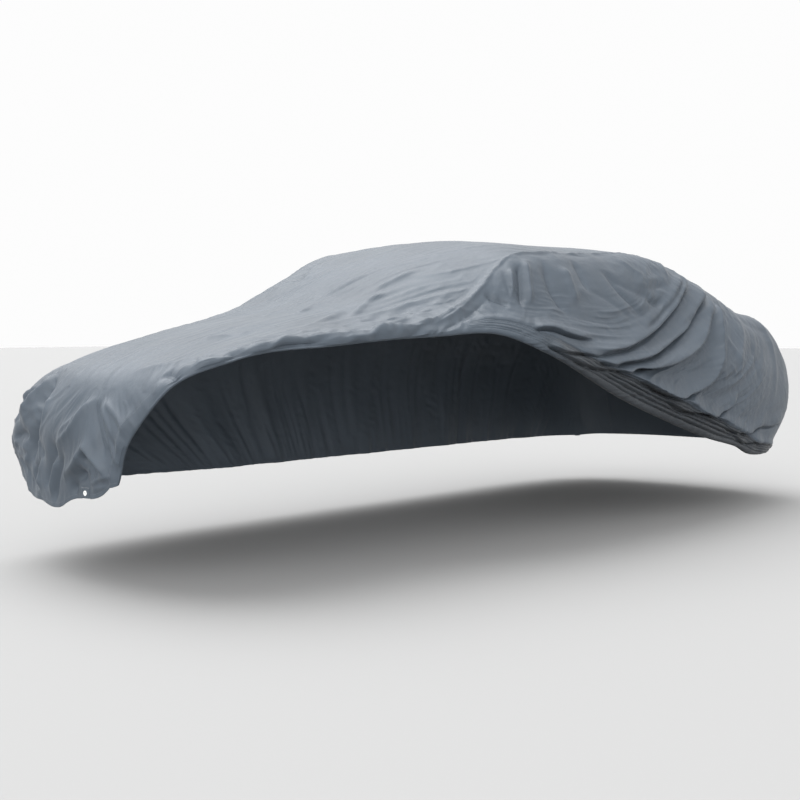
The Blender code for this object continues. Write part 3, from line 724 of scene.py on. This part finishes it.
def cloth_material(tint, bundle_shade_tint):
    """Coated cloth: woven grain, fine crumples, a soft sheen, and painted shade on the gathered edge of the
    lifted side.
    """
    material, tree, shader = new_material("coated_cloth", tint, 0.45)
    uv = add_node(tree, "ShaderNodeUVMap", uv_map="cloth")
    slanted = add_node(tree, "ShaderNodeMapping",
                       {"Vector": uv, "Scale": (1.0, 1.6, 1.0), "Rotation": (0.0, 0.0, 0.35)})
    creased = noise(tree, slanted, "RIDGED_MULTIFRACTAL", 9.0, 3.0)
    grain = noise(tree, uv, "FBM", 60.0, 3.0)
    cloudy = noise(tree, uv, "FBM", 2.5, 3.0)
    shade = add_node(tree, "ShaderNodeMapRange", {"Value": cloudy, "From Min": 0.3, "From Max": 0.7,
                                                  "To Min": 0.92, "To Max": 1.08})
    # painted shade: the tint is mixed towards a darker one where the gathered edge lies in shadow under the
    # drape
    bundle_shade_here = add_node(tree, "ShaderNodeAttribute", out="Fac", attribute_name="painted_bundle_shade")
    darker = [under - over for over, under in zip(tint, bundle_shade_tint)]
    base = add_node(tree, "ShaderNodeVectorMath", {0: darker, 1: bundle_shade_here, 2: tint},
                    operation="MULTIPLY_ADD")
    tone = add_node(tree, "ShaderNodeVectorMath", {0: base, "Scale": shade}, operation="SCALE")
    gloss = add_node(tree, "ShaderNodeMapRange", {"Value": grain, "To Min": 0.42, "To Max": 0.58})
    weave = add_node(tree, "ShaderNodeTexBrick", {"Vector": uv, "Scale": 420.0, "Mortar Size": 0.03,
                                                  "Mortar Smooth": 1.0}, out="Fac")
    drawn_uv = add_node(tree, "ShaderNodeUVMap", uv_map="drawn")
    lines = noise(tree, drawn_uv, "RIDGED_MULTIFRACTAL", 1.0, 2.0)
    strength = add_node(tree, "ShaderNodeAttribute", out="Fac", attribute_name="drawn_strength")
    drawn = add_node(tree, "ShaderNodeMath", {0: lines, 1: strength}, operation="MULTIPLY")
    normal = {}
    for height, distance, share in ((drawn, 0.0130, 1.0), (creased, 0.0085, 0.6),
                                    (grain, 0.0015, 0.4), (weave, 0.0002, 0.3)):
        normal = {"Normal": add_node(tree, "ShaderNodeBump", {"Height": height, "Distance": distance,
                                                              "Strength": share, **normal})}
    feed(tree, shader, {"Base Color": tone, "Roughness": gloss, "Sheen Weight": 0.05,
                        "Sheen Roughness": 0.35, "Specular IOR Level": 0.28, **normal})
    return material


def thread_material(tint):
    material, tree, shader = new_material("thread", tint, 0.6)
    fibre = noise(tree, add_node(tree, "ShaderNodeTexCoord", out="Object"), "FBM", 900.0, 2.0)
    feed(tree, shader, {"Normal": add_node(tree, "ShaderNodeBump", {"Height": fibre, "Distance": 0.0002})})
    return material


def ring_material(tint):
    material, tree, shader = new_material("ring_plastic", tint, 0.4)
    scuff = noise(tree, add_node(tree, "ShaderNodeTexCoord", out="Object"), "FBM", 300.0, 3.0)
    gloss = add_node(tree, "ShaderNodeMapRange", {"Value": scuff, "To Min": 0.32, "To Max": 0.50})
    feed(tree, shader, {"Roughness": gloss})
    return material


def line_on_net(net, normals, offset, column, columns):
    """A line at a distance from one column of the net, measured towards its higher columns (or, where
    the distance is negative, the lower ones), and the normals along it."""
    step = 1 if offset > 0 else -1
    band = [column + step * n for n in range(columns)]
    run = distances_along(net[:, band])
    at = [abs(offset)] * len(net)
    return read_at(at, run, net[:, band]), unit(read_at(at, run, normals[:, band]))


def stitches_on(place, out, pitch):
    """Centres, directions and normals of the stitches of one row."""
    run = distances_along(place[None])[0]
    at = np.arange(pitch / 2, run[-1], pitch)

    def read(where, values):
        return np.stack([np.interp(where, run, values[:, c]) for c in range(3)], axis=1)

    ahead = read(at + pitch / 3, place) - read(at - pitch / 3, place)
    return read(at, place), unit(ahead), unit(read(at, out))


def stitch_nodes(material):
    """The node tree that sets a stitch on every point, along its direction and out along its normal."""
    tree = bpy.data.node_groups.new("stitch_row", "GeometryNodeTree")
    for name, kind in (("Geometry", "Geometry"), ("Length", "Float"), ("Width", "Float"),
                       ("Height", "Float"), ("Seed", "Int")):
        tree.interface.new_socket(name, in_out="INPUT", socket_type="NodeSocket" + kind)
    tree.interface.new_socket("Geometry", in_out="OUTPUT", socket_type="NodeSocketGeometry")
    given = tree.nodes.new("NodeGroupInput").outputs
    ball = add_node(tree, "GeometryNodeMeshUVSphere", {"Segments": 6, "Rings": 4, "Radius": 0.5})
    size = add_node(tree, "ShaderNodeCombineXYZ",
                    {"X": given["Length"], "Y": given["Width"], "Z": given["Height"]})
    uneven = add_node(tree, "FunctionNodeRandomValue", {"Min": 0.88, "Max": 1.06, "Seed": given["Seed"]},
                      out=1, data_type="FLOAT")
    scale = add_node(tree, "ShaderNodeVectorMath", {0: size, "Scale": uneven}, operation="SCALE")
    lie, outwards = (add_node(tree, "GeometryNodeInputNamedAttribute", {"Name": name},
                              data_type="FLOAT_VECTOR") for name in ("direction", "normal"))
    turned = add_node(tree, "FunctionNodeAlignEulerToVector", {"Vector": lie}, axis="X")
    turned = add_node(tree, "FunctionNodeAlignEulerToVector", {"Rotation": turned, "Vector": outwards},
                      axis="Z", pivot_axis="X")
    stitches = add_node(tree, "GeometryNodeInstanceOnPoints", {"Points": given["Geometry"],
                        "Instance": ball, "Rotation": turned, "Scale": scale})
    real = add_node(tree, "GeometryNodeRealizeInstances", {"Geometry": stitches})
    painted = add_node(tree, "GeometryNodeSetMaterial", {"Geometry": real, "Material": material})
    feed(tree, tree.nodes.new("NodeGroupOutput"), {"Geometry": painted})
    return tree


def add_stitches(name, rows, tree, sizes, seed):
    """One piece with the stitches of several rows."""
    centre, direction, normal = (np.concatenate([row[k] for row in rows]) for k in range(3))
    points = bpy.data.meshes.new(name + "_points")
    points.from_pydata((centre + normal * sizes[2] * STITCH_LIFT).tolist(), [], [])
    for attribute, values in (("direction", direction), ("normal", normal)):
        layer = points.attributes.new(attribute, "FLOAT_VECTOR", "POINT")
        layer.data.foreach_set("vector", values.astype(np.float32).ravel())
    carrier = place_object(name + "_carrier", points)
    modifier = carrier.modifiers.new("stitches", "NODES")
    modifier.node_group = tree
    wanted = {"Length": sizes[0], "Width": sizes[1], "Height": sizes[2], "Seed": seed}
    for item in tree.interface.items_tree:
        if item.in_out == "INPUT" and item.name in wanted:
            modifier[item.identifier] = wanted[item.name]
    bpy.context.view_layer.update()
    ready = carrier.evaluated_get(bpy.context.evaluated_depsgraph_get())
    mesh = bpy.data.meshes.new_from_object(ready)
    bpy.data.objects.remove(carrier)
    bpy.data.meshes.remove(points)
    mesh.name = name
    mesh.polygons.foreach_set("use_smooth", [True] * len(mesh.polygons))
    return place_object(name, mesh)


def strip_patch(net, crown):
    """The notch of the front hem as a smooth patch: a function of (across, up), both 0 to 1."""
    patch = net[:NOTCH_RIBS + 1, crown - NOTCH_COLUMNS[0]:crown + NOTCH_COLUMNS[1] + 1]
    span = distances_along(patch)[0]

    def at(s, t):
        line = read_at([s * span[-1]] * len(patch), [span] * len(patch), patch)
        return read_at([t * NOTCH_RIBS], [np.arange(NOTCH_RIBS + 1)], line[None])[0]

    return at


def add_strip(ring_centre, net, crown, material):
    """The eyelet strip: a doubled piece of cloth let into the notch, with its hole."""
    at = strip_patch(net, crown)
    left, right, foot, head = at(0, 0.5), at(1, 0.5), at(0.5, 0), at(0.5, 1)
    size = np.array([np.linalg.norm(right - left), np.linalg.norm(head - foot)])
    hole = np.array([(ring_centre[1] - left[1]) / (right[1] - left[1]),
                     (ring_centre[2] - foot[2]) / (head[2] - foot[2])])
    out = unit(np.cross(head - foot, right - left))
    angles = np.linspace(-math.pi, math.pi, STRIP_SIDES, endpoint=False) + 0.01
    points = []
    for reach, lift in STRIP_ROWS:
        for angle in angles:
            ray = np.array([math.cos(angle), math.sin(angle)])
            start = STRIP_HOLE / 2 * ray / size + hole
            room = np.where(ray > 0, 1 - hole, hole) * size - STRIP_GAP
            end = (room / np.maximum(np.abs(ray), 1e-9)).min() * ray / size + hole
            points.append(at(*(start + (end - start) * reach)) + out * lift)
    points = np.array(points)
    faces = tube_faces(len(STRIP_ROWS), STRIP_SIDES)
    obj = add_mesh("eyelet_strip_cloth", points, faces, material, {"cloth": points[:, 1:].copy()})
    corners = [at(s, t) for s, t in ((0.05, 0.05), (0.05, 0.93), (0.95, 0.93), (0.95, 0.05))]
    return obj, corners, out


def add_ring(centre, material):
    """The ring through the strip, turned from its profile."""
    angles = [2 * math.pi * n / RING_SIDES for n in range(RING_SIDES)]
    points = centre + 1e-4 * np.array([(depth, radius * math.cos(angle), radius * math.sin(angle))
                                       for angle in angles for depth, radius in RING_PROFILE])
    faces = tube_faces(RING_SIDES, len(RING_PROFILE))
    return add_mesh("eyelet_ring_moulded", points, faces, material)


def add_floor():
    corners = np.array([(-1, -1), (1, -1), (1, 1), (-1, 1)]) * FLOOR
    points = np.column_stack([corners, [-REST[2]] * 4])
    add_mesh("floor", points, [(0, 1, 2, 3)], new_material("floor", FLOOR_TINT, 0.9)[0])


def add_sky():
    """Soft daylight from all round, with one bright part above and one in front."""
    world = bpy.data.worlds.new("studio")
    bpy.context.scene.world = world
    world.use_nodes = True
    tree = world.node_tree
    direction = add_node(tree, "ShaderNodeTexCoord", out="Generated")
    total = SKY_BASE
    for towards, start, end, strength in SKY_LOBES:
        lean = add_node(tree, "ShaderNodeVectorMath", {0: direction, 1: towards}, out="Value",
                        operation="DOT_PRODUCT")
        lobe = add_node(tree, "ShaderNodeMapRange", {"Value": lean, "From Min": start, "From Max": end,
                                                     "To Max": strength}, interpolation_type="SMOOTHSTEP")
        total = add_node(tree, "ShaderNodeMath", {0: total, 1: lobe})
    feed(tree, tree.nodes["Background"], {"Strength": total, "Color": (1.0, 1.0, 1.0, 1.0)})


def add_camera():
    scene = bpy.context.scene
    camera = place_object("camera", bpy.data.cameras.new("camera"))
    yaw, pitch = (math.radians(angle) for angle in CAMERA_ANGLES)
    forward = Vector((math.cos(yaw) * math.cos(pitch), math.sin(yaw) * math.cos(pitch), -math.sin(pitch)))
    camera.location = CAMERA_AT
    camera.rotation_euler = forward.to_track_quat("-Z", "Y").to_euler()
    camera.data.lens = CAMERA_LENS
    camera.data.sensor_width = 36.0
    camera.data.clip_end = 300.0
    scene.camera = camera
    scene.view_settings.view_transform = "Standard"


# what one operator makes and another needs
WORK = {}
COLOUR = {"size": 3, "min": 0.0, "max": 1.0, "subtype": "COLOR"}


class CoverSettings(bpy.types.PropertyGroup):
    cloth_colour: bpy.props.FloatVectorProperty(
        name="Cloth colour", description="Colour of the coated cloth",
        default=CLOTH_TINT, **COLOUR)
    # painted shade: the darker colour painted on the gathered edge of the lifted side, where it lies in
    # shadow
    bundle_shade_colour: bpy.props.FloatVectorProperty(
        name="Reverse colour", description="Colour of the cloth's reverse, which the gathered edge shows",
        default=BUNDLE_SHADE_TINT, **COLOUR)
    thread_colour: bpy.props.FloatVectorProperty(
        name="Thread colour", description="Colour of the sewing thread",
        default=THREAD_TINT, **COLOUR)
    ring_colour: bpy.props.FloatVectorProperty(
        name="Ring colour", description="Colour of the eyelet's ring",
        default=RING_TINT, **COLOUR)
    fold_height: bpy.props.FloatProperty(
        name="Fold height", description="Height of the swags and creases, as a share of the photo's",
        default=1.0, min=0.0, max=1.5, subtype="FACTOR")
    crumple_height: bpy.props.FloatProperty(
        name="Crumple height", description="Height of the cloth's unevenness, as a share of the photo's",
        default=1.0, min=0.0, max=2.0, subtype="FACTOR")
    stitch_pitch: bpy.props.FloatProperty(
        name="Stitch pitch", description="Distance from one stitch to the next",
        default=0.006, min=0.003, max=0.02, unit="LENGTH")
    stitch_length: bpy.props.FloatProperty(
        name="Stitch length", description="Length of the thread that shows of one stitch",
        default=0.0044, min=0.002, max=0.02, unit="LENGTH")
    thread_width: bpy.props.FloatProperty(
        name="Thread width", description="Width of the thread",
        default=0.0011, min=0.0003, max=0.004, unit="LENGTH")


class COVER_OT_cloth(bpy.types.Operator):
    """Build the three panels of cloth"""
    bl_idname = "cover.cloth"
    bl_label = "Panels"

    def execute(self, context):
        settings = context.scene.cover_settings
        net, along, across, marks, even = dressed_net(settings.fold_height, settings.crumple_height)
        near_seam, crown, far_seam = (int(mark) for mark in marks[:3])
        full, along, across, extra = with_hems(net, along, across, even)
        hole = np.zeros(full.shape[:2], bool)[:-1]
        hole[:extra + NOTCH_RIBS, crown - NOTCH_COLUMNS[0]:crown + NOTCH_COLUMNS[1]] = True
        drawn = drawn_lines(along, across, across[:, [near_seam]], across[:, [far_seam]])
        material = cloth_material(tuple(settings.cloth_colour), tuple(settings.bundle_shade_colour))
        spans = {"side_panel_near": (0, near_seam), "top_panel": (near_seam, far_seam),
                 "side_panel_far": (far_seam, full.shape[1] - 1)}
        for node, (first, last) in spans.items():
            obj = add_panel(node + "_cloth", full, (along, across, *drawn, painted_bundle_shade(along)),
                            first, last, hole, material)
            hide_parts(node)
            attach(obj, "root")
        WORK.update(net=net, marks=(near_seam, crown, far_seam), cloth=material)
        return {"FINISHED"}


class COVER_OT_eyelet(bpy.types.Operator):
    """Build the eyelet strip and its ring"""
    bl_idname = "cover.eyelet"
    bl_label = "Eyelet"

    def execute(self, context):
        low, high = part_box("eyelet_ring")
        centre = (np.array(low) + np.array(high)) / 2
        centre[0] = high[0] - RING_PROFILE_BACK
        strip, corners, out = add_strip(centre, WORK["net"], WORK["marks"][1], WORK["cloth"])
        ring = add_ring(centre, ring_material(tuple(context.scene.cover_settings.ring_colour)))
        for obj, node, slot in ((strip, "eyelet_strip", "cloth"), (ring, "eyelet_ring", "ring")):
            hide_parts(node)
            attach(obj, "root")
        WORK.update(strip_corners=corners, strip_out=out)
        return {"FINISHED"}


class COVER_OT_stitching(bpy.types.Operator):
    """Sew the seams, the hems and the eyelet strip"""
    bl_idname = "cover.stitching"
    bl_label = "Stitching"

    def execute(self, context):
        settings = context.scene.cover_settings
        pitch = settings.stitch_pitch
        net = WORK["net"]
        near_seam, crown, far_seam = WORK["marks"]
        lengthways = (net, net_normals(net))
        crossways = tuple(grid.transpose(1, 0, 2) for grid in lengthways)

        def row(grids, offset, column, reach, start=None, end=None):
            place, out = line_on_net(*grids, offset, column, reach)
            return stitches_on(place[start:end], out[start:end], pitch)

        shown = TURN_COLUMNS + UNDER_COLUMNS
        left = crown - NOTCH_COLUMNS[0]
        right = crown + NOTCH_COLUMNS[1]
        outs = np.array([WORK["strip_out"]] * 4)
        face = WORK["strip_corners"] + outs * STRIP_THICK / 2
        rows = {
            "near_seam_stitches": [row(lengthways, side * SEAM_ROW, near_seam, 8) for side in (-1, 1)],
            "far_seam_stitches": [row(lengthways, side * SEAM_ROW, far_seam, 8) for side in (-1, 1)],
            "far_hem_stitches": [row(lengthways, -HEM_ROW, net.shape[1] - 1, 10)],
            "end_hem_stitches": [row(crossways, HEM_ROW, 0, 12, shown, left),
                                 row(crossways, HEM_ROW, 0, 12, right + 1),
                                 row(crossways, -HEM_ROW, net.shape[0] - 1, 12, shown)],
            "strip_stitches": [stitches_on(face, outs, pitch * 0.6)],
        }
        tree = stitch_nodes(thread_material(tuple(settings.thread_colour)))
        sizes = (settings.stitch_length, settings.thread_width, settings.thread_width * 0.8)
        for seed, (name, parts) in enumerate(rows.items()):
            scale = STRIP_STITCH if name == "strip_stitches" else 1.0
            obj = add_stitches(name, parts, tree, tuple(scale * size for size in sizes), seed)
            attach(obj, "root")
        return {"FINISHED"}


class COVER_OT_stage(bpy.types.Operator):
    """Set the floor, the light and the camera"""
    bl_idname = "cover.stage"
    bl_label = "Stage"

    def execute(self, context):
        add_floor()
        add_sky()
        add_camera()
        return {"FINISHED"}


class COVER_PT_panel(bpy.types.Panel):
    """Lists the parts of the cover"""
    bl_idname = "COVER_PT_panel"
    bl_label = "Cover"
    bl_space_type = "VIEW_3D"
    bl_region_type = "UI"
    bl_category = "Cover"

    def draw(self, context):
        settings = context.scene.cover_settings
        for name in settings.bl_rna.properties.keys():
            if name not in ("rna_type", "name"):
                self.layout.prop(settings, name)
        for operator in OPERATORS:
            self.layout.operator(operator.bl_idname)


OPERATORS = (COVER_OT_cloth, COVER_OT_eyelet, COVER_OT_stitching, COVER_OT_stage)
CLASSES = (CoverSettings, *OPERATORS, COVER_PT_panel)


def register():
    for item in CLASSES:
        bpy.utils.register_class(item)
    bpy.types.Scene.cover_settings = bpy.props.PointerProperty(type=CoverSettings)


def unregister():
    del bpy.types.Scene.cover_settings
    for item in reversed(CLASSES):
        bpy.utils.unregister_class(item)


def main():
    register()
    bpy.ops.cover.cloth()
    bpy.ops.cover.eyelet()
    bpy.ops.cover.stitching()
    bpy.ops.cover.stage()


if __name__ == "__main__":
    main()
